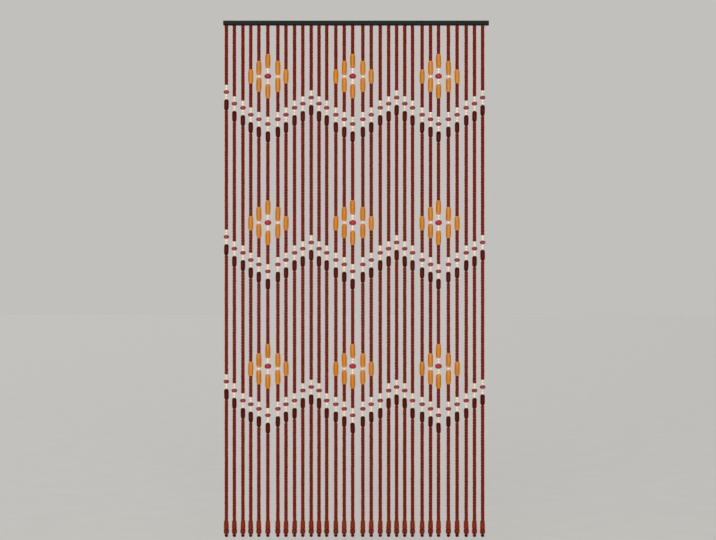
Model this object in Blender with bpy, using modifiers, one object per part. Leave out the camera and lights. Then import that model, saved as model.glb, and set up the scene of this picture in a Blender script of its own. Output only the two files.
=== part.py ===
"""Door curtain of wooden beads: 31 bead strands on a narrow band, let into the underside of a wooden rail.

Metres. X runs along the rail, Y from the front (-Y) to the back, and Z is up. The origin is the middle
of the rail's top face, which goes against the head of the doorway. The strands hang plumb, so every
height is given as a depth below that face.
"""

from collections import namedtuple

import bpy

# The curtain as sold for a doorway: its width, and its drop from the rail's top to the last bead
WIDTH = 0.900
DROP = 1.750

# The rail is a painted batten, with a groove in its underside for the band
RAIL_HEIGHT = 0.015
RAIL_DEPTH = 0.020
RAIL_EDGE = 0.0015
GROOVE_HEIGHT = 0.003
GROOVE_WIDTH = 0.012
GROOVE_END = 0.006
CLEARANCE = 0.0003

# The strands: where the first one hangs, and the gap from each strand to the next, a row for each repeat.
# Hand-strung lines hang a few millimetres out of step
FIRST_STRAND_X = -0.4395
STRAND_GAPS = (
    (0.0270, 0.0290, 0.0265, 0.0275, 0.0305, 0.0340, 0.0275, 0.0290, 0.0280, 0.0285),
    (0.0265, 0.0260, 0.0310, 0.0285, 0.0285, 0.0345, 0.0285, 0.0305, 0.0285, 0.0270),
    (0.0275, 0.0265, 0.0325, 0.0285, 0.0270, 0.0335, 0.0295, 0.0310, 0.0280, 0.0275),
)
REPEAT_MIDDLE = 5

# One strand: its line, the drop from the rail to its first bead, its sides, and the least space between
# two rings of its outline
LINE_DIAMETER = 0.0024
FIRST_BEAD_DROP = 0.001
STRAND_SIDES = 4
RING_SPACE = 0.0005

# Each bead's length, its widest diameter, and the length over which it swells to that at each end
Bead = namedtuple("Bead", "length diameter shoulder")
BEADS = {
    "plain": Bead(length=0.0104, diameter=0.0125, shoulder=0.0010),
    "white": Bead(length=0.00945, diameter=0.0092, shoulder=0.0010),
    "red": Bead(length=0.0118, diameter=0.0190, shoulder=0.0059),
    "large_red": Bead(length=0.0170, diameter=0.0232, shoulder=0.0050),
    "yellow": Bead(length=0.0480, diameter=0.0176, shoulder=0.0050),
    "dark": Bead(length=0.0380, diameter=0.0158, shoulder=0.0090),
}

# The coloured beads, top to bottom. A place counts the strands from the middle of a repeat
ZIGZAG = ("white", "white", "red", "white", "white", "dark")
MOTIF = {
    0: ("yellow", "white", "white", "large_red", "white", "white", "yellow"),
    1: ("yellow", "white", "yellow"),
    2: ("yellow",),
}

# Depths of the three tiers: the middles of the motif's beads at places 0 to 2, and the tops of the
# zigzag's beads at places 0 to 5 and on the first strand, where they hang higher
Tier = namedtuple("Tier", "motif zigzag first_strand")
TIERS = (
    Tier((0.1875, 0.1885, 0.1885), (0.3250, 0.3090, 0.2935, 0.2700, 0.2560, 0.2355), 0.2165),
    Tier((0.6840, 0.6835, 0.6860), (0.8245, 0.8010, 0.7860, 0.7615, 0.7475, 0.7265), 0.7075),
    Tier((1.1705, 1.1790, 1.1790), (1.3125, 1.2905, 1.2750, 1.2625, 1.2285, 1.2165), 1.1980),
)

# The bell that weights each strand and the stop bead under it: depth as a share of length, and radius
BELL_LENGTH = 0.0475
BELL = ((0.0, 0.0073), (0.92, 0.0093), (1.0, 0.0058))
STOP_LENGTH = 0.0105
STOP = ((0.10, 0.0045), (0.45, 0.0062), (1.0, 0.0030))

# Colour (linear RGB), roughness and metallic value of each material
Finish = namedtuple("Finish", "colour roughness metallic")
FINISHES = {
    "black_paint": Finish(colour=(0.016, 0.024, 0.018), roughness=0.45, metallic=0.0),
    "red_lacquer": Finish(colour=(0.198, 0.022, 0.009), roughness=0.35, metallic=0.0),
}


def clear_scene():
    for obj in list(bpy.data.objects):
        bpy.data.objects.remove(obj)


def collection(name):
    made = bpy.data.collections.new(name)
    bpy.context.scene.collection.children.link(made)
    return made


def material(name):
    finish = FINISHES[name]
    made = bpy.data.materials.new(name)
    made.use_nodes = True
    shader = made.node_tree.nodes["Principled BSDF"]
    shader.inputs["Base Color"].default_value = (*finish.colour, 1.0)
    shader.inputs["Roughness"].default_value = finish.roughness
    shader.inputs["Metallic"].default_value = finish.metallic
    return made


def move_to(obj, group):
    for old in list(obj.users_collection):
        old.objects.unlink(obj)
    group.objects.link(obj)


def make_helper(obj):
    """Keeps obj for a Boolean to use, and out of the finished curtain."""
    obj.hide_render = True
    obj.display_type = "WIRE"


def box(name, size, top, group):
    """A box of that size, centred on the rail's middle plane, with its top face at that depth."""
    bpy.ops.mesh.primitive_cube_add(size=1.0, location=(0.0, 0.0, -top - size[2] / 2))
    made = bpy.context.active_object
    made.name = made.data.name = name
    made.scale = size
    bpy.ops.object.transform_apply(location=False, rotation=False, scale=True)
    move_to(made, group)
    return made


def make_rail(parts, cutters):
    """The batten, its long edges eased, and the groove cut along its underside."""
    rail = box("rail", (WIDTH, RAIL_DEPTH, RAIL_HEIGHT), 0.0, parts)
    ease = rail.modifiers.new("eased edges", "BEVEL")
    ease.width = RAIL_EDGE
    ease.segments = 2
    groove_size = (WIDTH - 2 * GROOVE_END, GROOVE_WIDTH, GROOVE_HEIGHT * 2)
    groove = box("groove", groove_size, RAIL_HEIGHT - GROOVE_HEIGHT, cutters)
    make_helper(groove)
    cut = rail.modifiers.new("groove", "BOOLEAN")
    cut.operation = "DIFFERENCE"
    cut.object = groove
    rail.data.materials.append(material("black_paint"))
    return rail


def strand_positions():
    """The X of each strand, left to right."""
    positions = [FIRST_STRAND_X]
    for gaps in STRAND_GAPS:
        for gap in gaps:
            positions.append(positions[-1] + gap)
    return positions


def place_of(strand):
    """How many strands the middle of the nearest repeat is away."""
    middles = [REPEAT_MIDDLE + len(gaps) * repeat for repeat, gaps in enumerate(STRAND_GAPS)]
    return min(abs(strand - middle) for middle in middles)


def hung_from(depth, kinds):
    """(kind, depth of its top) of beads that hang one under another from a depth."""
    found = []
    for kind in kinds:
        found.append((kind, depth))
        depth += BEADS[kind].length
    return found


def coloured_beads(strand):
    """(kind, depth of its top) of each bead on this strand that isn't a plain one, top to bottom."""
    place = place_of(strand)
    found = []
    for tier in TIERS:
        if place in MOTIF:
            length = sum(BEADS[kind].length for kind in MOTIF[place])
            found += hung_from(tier.motif[place] - length / 2, MOTIF[place])
        found += hung_from(tier.zigzag[place] if strand else tier.first_strand, ZIGZAG)
    return found


def bead_runs(strand):
    """(kind, depth of its top, depth of its foot) of each run of like beads down to the bell."""
    runs = [("plain", RAIL_HEIGHT + FIRST_BEAD_DROP, None)]
    for kind, top in coloured_beads(strand):
        above, above_top, foot = runs[-1]
        if foot is None:
            runs[-1] = (above, above_top, top)
        elif top - foot > BEADS["plain"].length / 2:
            runs.append(("plain", foot, top))
        if runs[-1][0] == kind:
            runs[-1] = (kind, runs[-1][1], top + BEADS[kind].length)
        else:
            runs.append((kind, top, top + BEADS[kind].length))
    runs.append(("plain", runs[-1][2], DROP - STOP_LENGTH - BELL_LENGTH))
    return runs


def run_outline(runs):
    """The rings (depth, radius) of the runs. Where two runs meet, the wider one comes in to the narrower.

    A bead whose two shoulders meet in its middle has one ring there."""
    radii = [BEADS[kind].diameter / 2 for kind, top, foot in runs]
    outline = [(runs[0][1], radii[0])]
    for i, (kind, top, foot) in enumerate(runs):
        shoulder = BEADS[kind].shoulder
        if i > 0 and radii[i - 1] < radii[i]:
            outline.append((top + shoulder, radii[i]))
        if i + 1 < len(runs):
            if radii[i + 1] < radii[i] and foot - shoulder > outline[-1][0] + RING_SPACE:
                outline.append((foot - shoulder, radii[i]))
            outline.append((foot, min(radii[i], radii[i + 1])))
    outline.append((runs[-1][2], radii[-1]))
    return outline


def strand_outline(strand):
    """The outline (depth, radius) of one strand: its line, its beads, its bell and its stop bead."""
    knot = RAIL_HEIGHT - GROOVE_HEIGHT / 2
    outline = [(knot, 0.0), (knot, LINE_DIAMETER / 2)]
    outline += run_outline(bead_runs(strand))
    bell_top = DROP - STOP_LENGTH - BELL_LENGTH
    outline += [(bell_top + share * BELL_LENGTH, radius) for share, radius in BELL]
    stop_top = DROP - STOP_LENGTH
    outline += [(stop_top + share * STOP_LENGTH, radius) for share, radius in STOP]
    outline.append((DROP, 0.0))
    return outline


def make_strand(strand, x, cutters):
    """One strand, turned from its outline with few sides."""
    outline = strand_outline(strand)
    points = [(radius, 0.0, -depth) for depth, radius in outline]
    mesh = bpy.data.meshes.new(f"strand_{strand + 1:02d}")
    mesh.from_pydata(points, [(i, i + 1) for i in range(len(points) - 1)], [])
    made = bpy.data.objects.new(mesh.name, mesh)
    made.location.x = x
    cutters.objects.link(made)
    turn = made.modifiers.new("turned", "SCREW")
    turn.steps = STRAND_SIDES
    turn.render_steps = STRAND_SIDES
    turn.use_merge_vertices = True
    turn.merge_threshold = 0.00001
    make_helper(made)
    return made


def make_band(parts, strands):
    """The band that lies in the rail's groove, with the strands joined to it at their tops."""
    size = (
        WIDTH - 2 * (GROOVE_END + CLEARANCE),
        GROOVE_WIDTH - 2 * CLEARANCE,
        GROOVE_HEIGHT - 2 * CLEARANCE,
    )
    band = box("strand_band", size, RAIL_HEIGHT - GROOVE_HEIGHT + CLEARANCE, parts)
    join = band.modifiers.new("strands", "BOOLEAN")
    join.operation = "UNION"
    join.operand_type = "COLLECTION"
    join.collection = strands
    band.data.materials.append(material("red_lacquer"))
    return band


def main():
    clear_scene()
    parts = collection("bead_curtain")
    cutters = collection("cutters")
    strands = collection("strands")
    for strand, x in enumerate(strand_positions()):
        make_strand(strand, x, strands)
    make_rail(parts, cutters)
    make_band(parts, strands)


main()
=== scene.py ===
"""The looks of a door curtain: 31 strands of wooden beads under a painted rail, three tiers of a motif.

Metres, in the frame's axes: X runs along the rail, -Y is the front, Z is up, and the origin is the middle
of the rail's top face. The strands hang plumb, so every height is a depth below that face.
"""
from collections import namedtuple

import bmesh
import bpy
import numpy as np
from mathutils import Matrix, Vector


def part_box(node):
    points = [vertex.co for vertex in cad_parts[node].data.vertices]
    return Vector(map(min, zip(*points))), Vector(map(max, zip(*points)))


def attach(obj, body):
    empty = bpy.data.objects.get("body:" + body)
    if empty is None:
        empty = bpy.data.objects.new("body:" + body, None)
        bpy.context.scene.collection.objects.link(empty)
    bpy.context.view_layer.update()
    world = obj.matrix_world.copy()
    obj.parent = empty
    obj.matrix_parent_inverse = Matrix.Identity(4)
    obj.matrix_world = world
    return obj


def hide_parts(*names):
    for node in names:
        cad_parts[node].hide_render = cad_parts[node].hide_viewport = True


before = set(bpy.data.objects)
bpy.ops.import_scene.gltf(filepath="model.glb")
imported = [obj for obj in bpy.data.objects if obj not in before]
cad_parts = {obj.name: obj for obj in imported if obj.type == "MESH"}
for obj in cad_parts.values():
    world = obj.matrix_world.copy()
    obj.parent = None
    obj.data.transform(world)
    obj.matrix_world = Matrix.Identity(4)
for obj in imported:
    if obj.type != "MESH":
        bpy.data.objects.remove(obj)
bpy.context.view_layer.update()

# Taken from the frame: the rail's box and height, and the drop from its top to the last bead
RAIL_LOW, RAIL_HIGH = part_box("rail")
RAIL_HEIGHT = RAIL_HIGH.z - RAIL_LOW.z
DROP = RAIL_HIGH.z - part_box("strand_band")[0].z

# The strands: where the first one hangs, and the gap from each strand to the next, a row for each repeat.
# Hand-strung lines hang a few millimetres out of step. The middle is the strand in the middle of a repeat,
# the drop is from the rail to the first bead, and the plain beads of each third of the strands are a piece
FIRST_STRAND_X = -0.4395
STRAND_GAPS = (
    (0.0270, 0.0290, 0.0265, 0.0275, 0.0305, 0.0340, 0.0275, 0.0290, 0.0280, 0.0285),
    (0.0265, 0.0260, 0.0310, 0.0285, 0.0285, 0.0345, 0.0285, 0.0305, 0.0285, 0.0270),
    (0.0275, 0.0265, 0.0325, 0.0285, 0.0270, 0.0335, 0.0295, 0.0310, 0.0280, 0.0275),
)
REPEAT_MIDDLE = 5
STRANDS = 1 + sum(len(gaps) for gaps in STRAND_GAPS)
FIRST_BEAD_DROP = 0.001
THIRDS = {"left": range(0, 11), "middle": range(11, 21), "right": range(21, STRANDS)}

# Each bead: its length and diameter, how far down it is widest, how blunt its two ends are and how full
# its sides are (2 is an ellipse, more is squarer), how much painted shade darkens its top half, and the
# rings and sides of its mesh
Bead = namedtuple("Bead", "length diameter widest blunt_top blunt_bottom full dipped rings sides")
BEADS = {
    "plain": Bead(0.0104, 0.0125, 0.50, 9.0, 9.0, 4.5, 0.0, 6, 10),
    "white": Bead(0.00945, 0.0092, 0.50, 3.4, 3.4, 2.4, 0.0, 8, 12),
    "red": Bead(0.0118, 0.0190, 0.50, 5.0, 3.0, 2.3, 0.9, 10, 20),
    "large_red": Bead(0.0170, 0.0232, 0.50, 2.8, 2.8, 2.3, 0.0, 12, 24),
    "yellow": Bead(0.0480, 0.0176, 0.50, 2.4, 2.4, 10.0, 0.0, 16, 18),
    "dark": Bead(0.0380, 0.0158, 0.45, 6.5, 4.4, 2.4, 0.6, 14, 18),
}
HOLE_RADIUS = 0.0014

# The coloured beads, top to bottom. A place counts the strands from the middle of a repeat
ZIGZAG = ("white", "white", "red", "white", "white", "dark")
MOTIF = {
    0: ("yellow", "white", "white", "large_red", "white", "white", "yellow"),
    1: ("yellow", "white", "yellow"),
    2: ("yellow",),
}

# Depths of the three tiers: the middles of the motif's beads at places 0 to 2, and the tops of the
# zigzag's beads at places 0 to 5 and on the first strand, where they hang higher
Tier = namedtuple("Tier", "motif zigzag first_strand")
TIERS = (
    Tier((0.1875, 0.1885, 0.1885), (0.3250, 0.3090, 0.2935, 0.2700, 0.2560, 0.2355), 0.2165),
    Tier((0.6840, 0.6835, 0.6860), (0.8245, 0.8010, 0.7860, 0.7615, 0.7475, 0.7265), 0.7075),
    Tier((1.1705, 1.1790, 1.1790), (1.3125, 1.2905, 1.2750, 1.2625, 1.2285, 1.2165), 1.1980),
)

# The bell at the foot of each strand. A groove has its place as a share of the length, and its depth. A
# rounding has its share of the length, and the two powers that bell_outline takes
BELL_LENGTH = 0.0475
BELL_TOP_RADIUS = 0.0075
BELL_SKIRT_RADIUS = 0.0097
BELL_FLARE = 1.5
BELL_GROOVES = ((0.64, 0.0022), (0.90, 0.0018))
BELL_GROOVE_WIDTH = 0.026
BELL_TOP_ROUNDING = (0.08, 2.5, 0.5)
BELL_FOOT_ROUNDING = (0.28, 6, 0.4)
BELL_SIDES = 24

# Under the bell: the length that is left of the drop, and the stop bead in it with its gap to the bell
STOP_LENGTH = 0.0105
STOP_GAP = 0.0002
STOP_BEAD = Bead(0.0098, 0.0124, 0.45, 3.2, 2.6, 2.2, 0.0, 8, 14)

# The line through each strand: where it starts in the band, the length of its blunt end, and its knot,
# with how far above its middle the line starts to swell to it
LINE_RADIUS = 0.0006
LINE_SIDES = 8
LINE_START = RAIL_HEIGHT - 0.0005
LINE_BLUNT = 0.0002
KNOT_RADIUS = 0.0013
KNOT_DEPTH = DROP - 0.0016
KNOT_LEAD = 0.0030
KNOT_RINGS = 5

# How far the beads stray from true in girth, in place and in lean, as turned and strung by hand. The seed
# starts the draws of those, and of each bead's turn round the line and its tone
GIRTH_SPREAD = 0.015
SHIFT_SPREAD = 0.00010
LEAN_SPREAD = 0.012
SEED = 31

# The band that the lines are knotted into: how far it stops short of the rail's ends, how far its middle
# lies above the rail's underside, its section, how square that is, how much it rises and dips, the turns
# (radians a metre) and starts of the two waves it does that in, and the rings and sides of its mesh
BAND_INSET = 0.0070
BAND_RISE = 0.0015
BAND_WIDTH = 0.0110
BAND_THICKNESS = 0.0020
BAND_CORNER = 6.0
BAND_WAVE = 0.00012
BAND_WAVES = ((61, 0), (143, 1))
BAND_RINGS = 240
BAND_SIDES = 16

# The photograph's frame: its width and middle in pixels, the size of a pixel at the curtain, and where the
# rail's middle and top are in it. The camera's distance, its sensor in millimetres, and how far it sees
PHOTO_WIDTH = 716
PHOTO_MIDDLE = (358.0, 270.0)
PIXEL = 0.00339
RAIL_MIDDLE_PIXEL = 356.05
RAIL_TOP_PIXEL = 20.9
CAMERA_DISTANCE = 6.0
SENSOR = 36.0
CLIP_END = 200.0

# The studio: the floor's depth, half its width and the scale of its mottling, and the surround's colour,
# the light it sheds and the light it is seen at
FLOOR_DEPTH = 2.0
FLOOR_HALF = 40.0
FLOOR_MOTTLE = 6.0
SURROUND_COLOUR = "#FFFCF8"
SURROUND_LIGHT = 0.22
SURROUND_SEEN = 0.540

# The lights. A sun's turn is about X and Y from straight down, and its width is in radians, as seen
SoftBox = namedtuple("SoftBox", "place size power tint")
SOFT_BOXES = {
    "left_box": SoftBox((-1.3, -3.4, -0.6), (0.7, 1.6), 14.0, "#FFF4E8"),
    "right_box": SoftBox((2.0, -2.8, -0.6), (0.5, 1.2), 9.0, "#FFF8F0"),
}
Sun = namedtuple("Sun", "strength turn")
SUNS = {
    "front_sun": Sun(2.65, (1.42, -0.15)),
    "back_sun": Sun(1.55, (-0.85, -0.35)),
}
SUN_WIDTH = 0.6

# Points nearer to each other than this are one, where the end of a line or the band is closed
SAME_POINT = 1e-6

Placed = namedtuple("Placed", "kind strand top stretch")


def strand_positions():
    """The X of each strand, left to right: the first one's and the running sum of the gaps."""
    return FIRST_STRAND_X + np.concatenate([[0.0], np.cumsum(STRAND_GAPS)])


def place_of(strand):
    """How many strands the middle of the nearest repeat is away."""
    middles = [REPEAT_MIDDLE + len(gaps) * repeat for repeat, gaps in enumerate(STRAND_GAPS)]
    return min(abs(strand - middle) for middle in middles)


def hung_from(depth, kinds):
    """(kind, depth of its top) of beads that hang one under another from a depth."""
    found = []
    for kind in kinds:
        found.append((kind, depth))
        depth += BEADS[kind].length
    return found


def coloured_beads(strand):
    """(kind, depth of its top) of each bead on this strand that isn't a plain one, top to bottom."""
    place = place_of(strand)
    found = []
    for tier in TIERS:
        if place in MOTIF:
            length = sum(BEADS[kind].length for kind in MOTIF[place])
            found += hung_from(tier.motif[place] - length / 2, MOTIF[place])
        found += hung_from(tier.zigzag[place] if strand else tier.first_strand, ZIGZAG)
    return found


def plain_run(strand, top, bottom):
    """As many plain beads as come nearest to filling the line between two depths, stretched to fit."""
    length = BEADS["plain"].length
    count = round((bottom - top) / length)
    pitch = (bottom - top) / max(count, 1)
    return [Placed("plain", strand, top + pitch * i, pitch / length) for i in range(count)]


def strung_beads():
    """Every bead above the bells: the coloured ones where they hang, and plain ones between them."""
    placed = []
    for strand in range(STRANDS):
        reached = RAIL_HEIGHT + FIRST_BEAD_DROP
        for kind, top in coloured_beads(strand):
            placed += plain_run(strand, reached, top)
            placed.append(Placed(kind, strand, top, 1.0))
            reached = top + BEADS[kind].length
        placed += plain_run(strand, reached, DROP - STOP_LENGTH - BELL_LENGTH)
    return placed


def bead_outline(bead):
    """(depth, radius, edge) of a bead's rings, from the top of its hole over its side to the bottom.

    Each half is a quarter of a superellipse: (depth from the widest place / that half's length) to the
    power of its bluntness, plus (radius / widest radius) to the power of its fullness, makes 1. The edge
    is 1 minus the radius as a share of the widest, plus a painted shade on the top half that grows from
    nothing at the widest place to the bead's painted top shade at its top."""
    widest_radius = bead.diameter / 2
    start = np.arcsin((HOLE_RADIUS / widest_radius) ** (bead.full / 2))
    angle = np.linspace(start, np.pi - start, bead.rings)
    radius = widest_radius * np.sin(angle) ** (2 / bead.full)
    upper = angle < np.pi / 2
    power = 2 / np.where(upper, bead.blunt_top, bead.blunt_bottom)
    reach = bead.length * np.where(upper, bead.widest, 1 - bead.widest)
    share = (np.abs(np.cos(angle)) / np.cos(start)) ** power
    depth = bead.length * bead.widest + reach * share * np.where(upper, -1, 1)
    # Painted shade: the edge mark grows on the top half, and the stain's edge colour darkens the top there
    dip = bead.dipped * np.maximum(1 - depth / (bead.length * bead.widest), 0)
    return np.column_stack([depth, radius, 1 - radius / widest_radius + dip])


def bell_outline():
    """(depth, radius, edge) of the bell: it flares as a power of the depth, less two grooves.

    A groove is a Gaussian of its depth and width. The top is rounded by 1 minus a power of the way that is
    left to the end of its rounding, and the foot by 1 minus a power of the way gone into its own, each to
    another power. The edge is 1 at the foot of a groove, where it gives painted shade, and a third where
    the rounding meets the hole."""
    top, side, skirt = (0.0, 0.004, 0.02, 0.05, 0.12), np.linspace(0.2, 0.55, 5), np.linspace(0.58, 1, 32)
    share = np.concatenate([top, side, skirt])
    radius = BELL_TOP_RADIUS + (BELL_SKIRT_RADIUS - BELL_TOP_RADIUS) * share**BELL_FLARE
    hollow = np.zeros_like(share)
    for middle, depth in BELL_GROOVES:
        groove = np.exp(-(((share - middle) / BELL_GROOVE_WIDTH) ** 2))
        radius -= depth * groove
        hollow += groove
    reach, power, root = BELL_TOP_ROUNDING
    rounding = (1 - (1 - np.minimum(share / reach, 1)) ** power) ** root
    reach, power, root = BELL_FOOT_ROUNDING
    rounding *= (1 - (np.maximum(share - (1 - reach), 0) / reach) ** power) ** root
    radius = np.maximum(radius * rounding, HOLE_RADIUS)
    # Painted shade in the grooves: their edge mark turns them to the stain's dark edge colour
    edge = np.minimum(hollow + (1 - rounding) / 3, 1)
    return np.column_stack([share * BELL_LENGTH, radius, edge])


def ring_faces(rings, sides, bored):
    """The four-sided faces of rings times sides, closed round the line, and up the bore if it has one."""
    ring = np.arange(rings if bored else rings - 1)[:, None]
    side = np.arange(sides)[None, :]
    below, beside = (ring + 1) % rings, (side + 1) % sides
    corners = (ring * sides + side, below * sides + side, below * sides + beside, ring * sides + beside)
    return np.stack(corners, axis=-1).reshape(-1, 4)


def surface(name, points, faces, marks, material):
    """Puts arrays of points and faces, and the named marks of the points, into a piece of the curtain."""
    mesh = bpy.data.meshes.new(name)
    mesh.from_pydata(points.tolist(), [], faces.tolist())
    for mark, values in marks.items():
        layer = mesh.attributes.new(mark, "FLOAT", "POINT")
        layer.data.foreach_set("value", np.ascontiguousarray(values, dtype=np.float32))
    mesh.shade_smooth()
    mesh.materials.append(material)
    piece = bpy.data.objects.new(name, mesh)
    bpy.context.scene.collection.objects.link(piece)
    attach(piece, "root")
    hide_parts("strand_band")
    return piece


def close_ends(piece):
    """Merges the points of a ring of no size, so that an end without a bore is closed."""
    shape = bmesh.new()
    shape.from_mesh(piece.data)
    bmesh.ops.remove_doubles(shape, verts=shape.verts, dist=SAME_POINT)
    shape.to_mesh(piece.data)
    shape.free()


def turned(name, outline, sides, x, top, stretch, material, slot, bored=True, steady=False):
    """Many copies of one turned shape, each hung at its own x and depth.

    A point is its ring's radius times the copy's girth, carried round the line by the copy's own turn,
    and shifted and leant a little; its depth is the copy's top plus the ring's depth times the stretch."""
    count = len(x)
    loose = 0.0 if steady else 1.0
    draw = np.random.default_rng([SEED, *name.encode()])
    girth = 1 + loose * draw.uniform(-GIRTH_SPREAD, GIRTH_SPREAD, (count, 1, 1))
    turn = draw.uniform(0, 2 * np.pi, (count, 1, 1))
    shift = loose * draw.normal(0, SHIFT_SPREAD, (2, count, 1, 1))
    lean = loose * draw.normal(0, LEAN_SPREAD, (2, count, 1, 1))
    tone = draw.uniform(0, 1, (count, 1, 1))
    depth, radius, edge = outline.T[:, None, :, None]
    angle = turn + (2 * np.pi / sides) * np.arange(sides)[None, None, :]
    down = depth * stretch[:, None, None]
    from_middle = down - down.mean(axis=1, keepdims=True)
    along_x = x[:, None, None] + shift[0] + lean[0] * from_middle + radius * girth * np.cos(angle)
    along_y = shift[1] + lean[1] * from_middle + radius * girth * np.sin(angle)
    along_z = RAIL_HIGH.z - top[:, None, None] - down + 0 * angle
    points = np.stack([along_x, along_y, along_z], axis=-1).reshape(-1, 3)
    rings = len(outline)
    offsets = (np.arange(count) * rings * sides)[:, None, None]
    faces = (ring_faces(rings, sides, bored)[None] + offsets).reshape(-1, 4)
    marks = {
        "tone": (tone + 0 * along_z).ravel(),
        "edge": (edge + 0 * along_z).ravel(),
    }
    piece = surface(name, points, faces, marks, material)
    if not bored:
        close_ends(piece)
    return piece


def beads(name, placed, kind, strands, material, slot):
    """One piece with every bead of a kind on those strands."""
    chosen = [bead for bead in placed if bead.kind == kind and bead.strand in strands]
    x = strand_positions()[[bead.strand for bead in chosen]]
    top = np.array([bead.top for bead in chosen])
    stretch = np.array([bead.stretch for bead in chosen])
    return turned(name, bead_outline(BEADS[kind]), BEADS[kind].sides, x, top, stretch, material, slot)


def per_strand(name, outline, sides, top, material, slot, **options):
    """One piece with the same turned shape on every strand."""
    x = strand_positions()
    level = np.full(len(x), top)
    stretch = np.ones(len(x))
    return turned(name, outline, sides, x, level, stretch, material, slot, **options)


def line_outline():
    """(depth, radius, edge) of a line: even from the band to the stop bead, then a knot and a blunt end.

    The knot is a sphere where that is wider than the line."""
    swing = np.linspace(0, np.pi, KNOT_RINGS + 2)[1:-1]
    knot_depth = KNOT_DEPTH - KNOT_RADIUS * np.cos(swing)
    knot_radius = np.maximum(KNOT_RADIUS * np.sin(swing), LINE_RADIUS)
    line_depth = [LINE_START, LINE_START, KNOT_DEPTH - KNOT_LEAD]
    depth = np.concatenate([line_depth, knot_depth, [DROP - LINE_BLUNT, DROP]])
    radius = np.concatenate([[0.0, LINE_RADIUS, LINE_RADIUS], knot_radius, [LINE_RADIUS, 0.0]])
    return np.column_stack([depth, radius, 0 * depth])


def band(material):
    """The woven band: a flat oval carried along the rail's groove, rising and dipping a little.

    Its section is a superellipse, and the dip is the sum of two sines along X."""
    x = np.linspace(RAIL_LOW.x + BAND_INSET, RAIL_HIGH.x - BAND_INSET, BAND_RINGS)
    angle = np.linspace(0, 2 * np.pi, BAND_SIDES, endpoint=False)
    across = BAND_WIDTH / 2 * np.sign(np.cos(angle)) * np.abs(np.cos(angle)) ** (2 / BAND_CORNER)
    up = BAND_THICKNESS / 2 * np.sign(np.sin(angle)) * np.abs(np.sin(angle)) ** (2 / BAND_CORNER)
    dip = BAND_WAVE * sum(np.sin(turns * x + start) for turns, start in BAND_WAVES)
    swell = np.ones_like(x)
    swell[[0, -1]] = 0.0
    along_x = x[:, None] + 0 * angle
    along_y = swell[:, None] * across
    along_z = RAIL_LOW.z + BAND_RISE + dip[:, None] + swell[:, None] * up
    points = np.stack([along_x, along_y, along_z], axis=-1).reshape(-1, 3)
    faces = ring_faces(len(x), len(angle), False)
    marks = {"tone": np.zeros(len(points)), "edge": np.zeros(len(points))}
    piece = surface("woven_band", points, faces, marks, material)
    close_ends(piece)
    return piece


def linear(colour):
    """The linear RGBA of an sRGB hex colour."""
    parts = [int(colour[i : i + 2], 16) / 255 for i in (1, 3, 5)]
    return (*[p / 12.92 if p <= 0.04045 else ((p + 0.055) / 1.055) ** 2.4 for p in parts], 1.0)


def add(tree, kind, inputs=None, **settings):
    """Adds a node with its settings. An input is given a value, or the output socket that feeds it."""
    made = tree.nodes.new("ShaderNode" + kind)
    for name, value in settings.items():
        setattr(made, name, value)
    for socket, value in (inputs or {}).items():
        if isinstance(value, bpy.types.NodeSocket):
            tree.links.new(value, made.inputs[socket])
        else:
            made.inputs[socket].default_value = value
    return made


def blend(tree, share, low, high):
    """The output that goes from the low colour to the high one with the share. Hex colours are converted."""
    low, high = (linear(colour) if isinstance(colour, str) else colour for colour in (low, high))
    return add(tree, "Mix", {0: share, 6: low, 7: high}, data_type="RGBA").outputs[2]


def new_material(name):
    """A material with an empty node tree, its Principled shader and its output."""
    made = bpy.data.materials.new(name)
    made.use_nodes = True
    made.node_tree.nodes.clear()
    shader = add(made.node_tree, "BsdfPrincipled")
    add(made.node_tree, "OutputMaterial", {"Surface": shader.outputs[0]})
    return made, made.node_tree, shader


# How a batch of beads is stained: the deep and light colours of its grain, the colour at its holes and in
# its grooves, how strong that is and the edge value at which it is full, how much one bead differs from
# the next, its roughness, and how much the wood and its clear coat reflect. The colour at the holes is
# dye that gathers at the ends, and also painted light: painted shade on the tops of the rondelles and
# dark drops and in the bells' grooves, and a painted highlight on the ends of the yellow beads
Stain = namedtuple("Stain", "deep light edge edge_strength edge_full spread roughness shine coat")
STAINS = {
    "red_dyed_lacquered_beech": Stain("#661407", "#831D0A", "#3A0804", 0.7, 0.4, 0.09, 0.36, 0.04, 0.05),
    "cream_enamelled_beech": Stain("#EFD1BC", "#F8DECC", "#C9A78B", 0.35, 0.6, 0.03, 0.32, 0.3, 0.35),
    "crimson_lacquered_beech": Stain("#95192A", "#B22C3A", "#5A0C12", 0.45, 0.6, 0.1, 0.36, 0.12, 0.16),
    # The brick red and dark edge colours are also the painted shade on the tops of the rondelles and dark
    # drops
    "brick_red_lacquered_beech": Stain("#88292D", "#A34245", "#4A0C0F", 0.6, 0.75, 0.1, 0.36, 0.12, 0.16),
    # The amber's pale edge colour is a painted highlight on the ends of the yellow beads
    "amber_dyed_lacquered_beech": Stain("#B46604", "#CC7B05", "#ECAA66", 0.6, 0.4, 0.06, 0.38, 0.08, 0.12),
    "dark_stained_lacquered_beech": Stain("#3D0A02", "#661505", "#1E0402", 0.7, 0.7, 0.12, 0.38, 0.02, 0.03),
    # The rust's dark edge colour is painted shade in the bells' grooves
    "rust_stained_lacquered_beech": Stain("#6C1A04", "#8A2604", "#240602", 0.9, 0.6, 0.12, 0.38, 0.04, 0.05),
}

# Grain of turned beech in metres: pores drawn out down the bead. Real pores are a tenth of a millimetre
# wide, too fine to show, so the streaks are drawn wider
STREAK_WIDTH = 0.0011
STREAK_LENGTH = 0.0170
FLECK_WIDTH = 0.00045
FLECK_LENGTH = 0.0025

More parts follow.
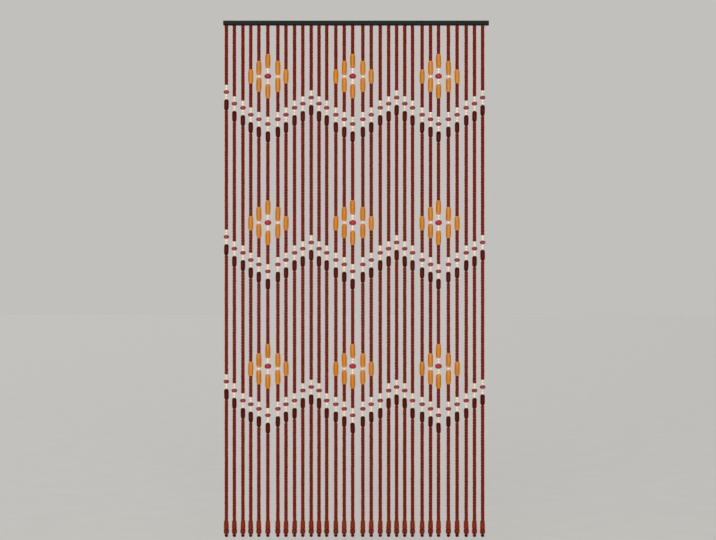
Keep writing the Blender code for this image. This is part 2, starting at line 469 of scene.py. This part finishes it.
# How far apart two beads lie in the grain's noise, the part of the noise that the grain's contrast takes,
# the edge value where the edge colour (dye at the ends, painted shade and painted highlight) starts, how
# far the flecks change the roughness and stand up, and the clear coat's own roughness and index
GRAIN_APART = 57.0
GRAIN_CONTRAST = (0.34, 0.66)
EDGE_START = 0.03
FLECK_GLOSS = (-0.08, 0.12)
FLECK_RELIEF = 0.00012
FLECK_STRENGTH = 0.25
COAT_ROUGHNESS = 0.14
COAT_INDEX = 1.45

# Pine's long grain in grains a metre along X, Y and Z, and the scales of the wave textures that make the
# line's twist and the band's ribs
PINE_GRAIN = (9.0, 900.0, 900.0)
TWIST_SCALE = 900.0
RIB_SCALE = 210.0


def stained_beech(name):
    """Beech turned into beads, dyed and given a dip in clear lacquer: streaky colour under an even gloss."""
    stain = STAINS[name]
    made, tree, shader = new_material(name)
    place = add(tree, "TexCoord").outputs["Object"]
    tone = add(tree, "Attribute", attribute_name="tone").outputs["Fac"]
    edge = add(tree, "Attribute", attribute_name="edge").outputs["Fac"]
    batch = add(tree, "Math", {0: tone, 1: GRAIN_APART}, operation="MULTIPLY").outputs[0]
    streak_scale = (1 / STREAK_WIDTH, 1 / STREAK_WIDTH, 1 / STREAK_LENGTH)
    streak_place = add(tree, "Mapping", {"Vector": place, "Scale": streak_scale}).outputs[0]
    streak_settings = {"Vector": streak_place, "W": batch, "Scale": 1.0, "Detail": 3.0, "Roughness": 0.6}
    streak = add(tree, "TexNoise", streak_settings, noise_dimensions="4D").outputs["Fac"]
    fleck_scale = (1 / FLECK_WIDTH, 1 / FLECK_WIDTH, 1 / FLECK_LENGTH)
    fleck_place = add(tree, "Mapping", {"Vector": place, "Scale": fleck_scale}).outputs[0]
    fleck = add(tree, "TexNoise", {"Vector": fleck_place, "Scale": 1.0, "Detail": 2.0}).outputs["Fac"]
    contrast = {"Value": streak, "From Min": GRAIN_CONTRAST[0], "From Max": GRAIN_CONTRAST[1]}
    grain = add(tree, "MapRange", contrast).outputs["Result"]
    colour = blend(tree, grain, stain.deep, stain.light)
    spread = {"Value": tone, "To Min": 1 - stain.spread, "To Max": 1 + stain.spread}
    value = add(tree, "MapRange", spread).outputs["Result"]
    varied = add(tree, "HueSaturation", {"Color": colour, "Value": value}).outputs[0]
    # The edge colour is dye that gathers at the ends, and painted light: painted shade on the tops of the
    # rondelles and dark drops and in the bells' grooves, and a painted highlight on the yellow beads' ends
    edge_dye_and_light_range = {"Value": edge, "From Min": EDGE_START, "From Max": stain.edge_full}
    edge_dye_and_light = add(tree, "MapRange", edge_dye_and_light_range | {"To Max": stain.edge_strength}).outputs["Result"]
    final = blend(tree, edge_dye_and_light, varied, stain.edge)
    glossy, dull = (stain.roughness + change for change in FLECK_GLOSS)
    rough = add(tree, "MapRange", {"Value": fleck, "To Min": glossy, "To Max": dull}).outputs["Result"]
    bump = {"Height": fleck, "Strength": FLECK_STRENGTH, "Distance": FLECK_RELIEF}
    relief = add(tree, "Bump", bump).outputs[0]
    tree.links.new(final, shader.inputs["Base Color"])
    tree.links.new(rough, shader.inputs["Roughness"])
    tree.links.new(relief, shader.inputs["Normal"])
    shader.inputs["Specular IOR Level"].default_value = stain.shine
    shader.inputs["Coat Weight"].default_value = stain.coat
    shader.inputs["Coat Roughness"].default_value = COAT_ROUGHNESS
    shader.inputs["Coat IOR"].default_value = COAT_INDEX
    return made


def painted_pine():
    """Pine batten in satin black paint, with a trace of the long grain under it."""
    made, tree, shader = new_material("black_satin_painted_pine")
    place = add(tree, "TexCoord").outputs["Object"]
    grain_place = add(tree, "Mapping", {"Vector": place, "Scale": PINE_GRAIN}).outputs[0]
    grain = add(tree, "TexNoise", {"Vector": grain_place, "Scale": 1.0, "Detail": 4.0}).outputs["Fac"]
    colour = blend(tree, grain, "#080E0B", "#141E19")
    rough = add(tree, "MapRange", {"Value": grain, "To Min": 0.36, "To Max": 0.56}).outputs["Result"]
    relief = add(tree, "Bump", {"Height": grain, "Strength": 0.35, "Distance": 0.0002}).outputs[0]
    tree.links.new(colour, shader.inputs["Base Color"])
    tree.links.new(rough, shader.inputs["Roughness"])
    tree.links.new(relief, shader.inputs["Normal"])
    shader.inputs["Specular IOR Level"].default_value = 0.06
    return made


def nylon_line():
    """Twisted nylon line, dyed dark red so that it doesn't show between the beads: a faint sheen."""
    made, tree, shader = new_material("dark_twisted_nylon")
    place = add(tree, "TexCoord").outputs["Object"]
    wave = {"Vector": place, "Scale": TWIST_SCALE}
    twist = add(tree, "TexWave", wave, bands_direction="DIAGONAL").outputs["Fac"]
    colour = blend(tree, twist, "#2A0B08", "#4E1A12")
    tree.links.new(colour, shader.inputs["Base Color"])
    shader.inputs["Roughness"].default_value = 0.45
    return made


def woven_tape():
    """Flat woven polyester tape, near black: slanting ribs a millimetre and a half apart, no gloss."""
    made, tree, shader = new_material("black_woven_polyester_tape")
    place = add(tree, "TexCoord").outputs["Object"]
    wave = {"Vector": place, "Scale": RIB_SCALE}
    ribs = add(tree, "TexWave", wave, bands_direction="DIAGONAL").outputs["Fac"]
    colour = blend(tree, ribs, "#141414", "#2D2B2A")
    relief = add(tree, "Bump", {"Height": ribs, "Strength": 0.6, "Distance": 0.0002}).outputs[0]
    tree.links.new(colour, shader.inputs["Base Color"])
    tree.links.new(relief, shader.inputs["Normal"])
    shader.inputs["Roughness"].default_value = 0.85
    return made


def pale_floor():
    """A plain pale floor, matt, one door's height below the rail. The lacquer doesn't mirror it."""
    corners = [(FLOOR_HALF * x, FLOOR_HALF * y) for x, y in ((-1, -1), (1, -1), (1, 1), (-1, 1))]
    mesh = bpy.data.meshes.new("pale_floor")
    mesh.from_pydata([(x, y, -FLOOR_DEPTH) for x, y in corners], [], [(0, 1, 2, 3)])
    made, tree, shader = new_material("pale_matt_floor")
    place = add(tree, "TexCoord").outputs["Object"]
    mottle = add(tree, "TexNoise", {"Vector": place, "Scale": FLOOR_MOTTLE}).outputs["Fac"]
    colour = blend(tree, mottle, "#DEDCD8", "#E6E4E0")
    tree.links.new(colour, shader.inputs["Base Color"])
    shader.inputs["Roughness"].default_value = 0.9
    mesh.materials.append(made)
    floor = bpy.data.objects.new("pale_floor", mesh)
    floor.visible_glossy = False
    bpy.context.scene.collection.objects.link(floor)


def dress_curtain():
    """Every bead, bell, line and the band, and the rail's paint."""
    placed = strung_beads()
    finish = {name: stained_beech(name) for name in STAINS}
    everywhere = range(STRANDS)
    red = finish["red_dyed_lacquered_beech"]
    for side, strands in THIRDS.items():
        beads(f"plain_beads_{side}", placed, "plain", strands, red, "red_beads")
    coloured = (
        ("white_beads", "white", "cream_enamelled_beech", "white_beads"),
        ("zigzag_rondelles", "red", "brick_red_lacquered_beech", "crimson_beads"),
        ("motif_centres", "large_red", "crimson_lacquered_beech", "crimson_beads"),
        ("long_yellow_beads", "yellow", "amber_dyed_lacquered_beech", "yellow_beads"),
        ("dark_drops", "dark", "dark_stained_lacquered_beech", "dark_beads"),
    )
    for name, kind, material, slot in coloured:
        beads(name, placed, kind, everywhere, finish[material], slot)
    bell_top = DROP - STOP_LENGTH - BELL_LENGTH
    rust = finish["rust_stained_lacquered_beech"]
    per_strand("bells", bell_outline(), BELL_SIDES, bell_top, rust, "bell_beads")
    dark = finish["dark_stained_lacquered_beech"]
    stop_top = DROP - STOP_LENGTH + STOP_GAP
    per_strand("stop_beads", bead_outline(STOP_BEAD), STOP_BEAD.sides, stop_top, dark, "dark_beads")
    per_strand("lines", line_outline(), LINE_SIDES, 0.0, nylon_line(), "line", bored=False, steady=True)
    band(woven_tape())
    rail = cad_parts["rail"]
    rail.data.materials.clear()
    rail.data.materials.append(painted_pine())


def soft_light(name, box, aim):
    """A rectangular soft box, turned to face a point."""
    data = bpy.data.lights.new(name, "AREA")
    data.shape = "RECTANGLE"
    data.size, data.size_y = box.size
    data.energy = box.power
    data.color = linear(box.tint)[:3]
    lamp = bpy.data.objects.new(name, data)
    lamp.location = box.place
    lamp.rotation_euler = (Vector(aim) - Vector(box.place)).to_track_quat("-Z", "Y").to_euler()
    bpy.context.scene.collection.objects.link(lamp)


def sun(name, strength, turn):
    """A soft sun, its rays turned from straight down about X and Y."""
    data = bpy.data.lights.new(name, "SUN")
    data.energy = strength
    data.angle = SUN_WIDTH
    lamp = bpy.data.objects.new(name, data)
    lamp.rotation_euler = (*turn, 0.0)
    bpy.context.scene.collection.objects.link(lamp)


def light_studio():
    """A low sun in front, a tall soft box on each side of it, and a sun behind for an even floor.

    The surround is pale to look at but sheds little light, so that the lacquer keeps its colour."""
    middle = (0.0, 0.0, -DROP / 2)
    for name, box in SOFT_BOXES.items():
        soft_light(name, box, middle)
    for name, kind in SUNS.items():
        sun(name, kind.strength, kind.turn)
    world = bpy.data.worlds.new("pale_studio")
    world.use_nodes = True
    tree = world.node_tree
    sky = tree.nodes["Background"]
    seen = add(tree, "LightPath").outputs["Is Camera Ray"]
    levels = {"Value": seen, "To Min": SURROUND_LIGHT, "To Max": SURROUND_SEEN}
    strength = add(tree, "MapRange", levels)
    tree.links.new(strength.outputs["Result"], sky.inputs["Strength"])
    sky.inputs["Color"].default_value = linear(SURROUND_COLOUR)
    bpy.context.scene.world = world
    bpy.context.scene.view_settings.view_transform = "Standard"


def place_camera():
    """Straight in front, level, with the photograph's middle in the middle of its view."""
    data = bpy.data.cameras.new("camera")
    data.sensor_fit = "HORIZONTAL"
    data.sensor_width = SENSOR
    data.lens = SENSOR * CAMERA_DISTANCE / (PHOTO_WIDTH * PIXEL)
    data.clip_end = CLIP_END
    camera = bpy.data.objects.new("camera", data)
    right = (PHOTO_MIDDLE[0] - RAIL_MIDDLE_PIXEL) * PIXEL
    down = (PHOTO_MIDDLE[1] - RAIL_TOP_PIXEL) * PIXEL
    camera.location = (right, -CAMERA_DISTANCE, RAIL_HIGH.z - down)
    camera.rotation_euler = (np.pi / 2, 0.0, 0.0)
    bpy.context.scene.collection.objects.link(camera)
    bpy.context.scene.camera = camera


place_camera()
dress_curtain()
pale_floor()
light_studio()
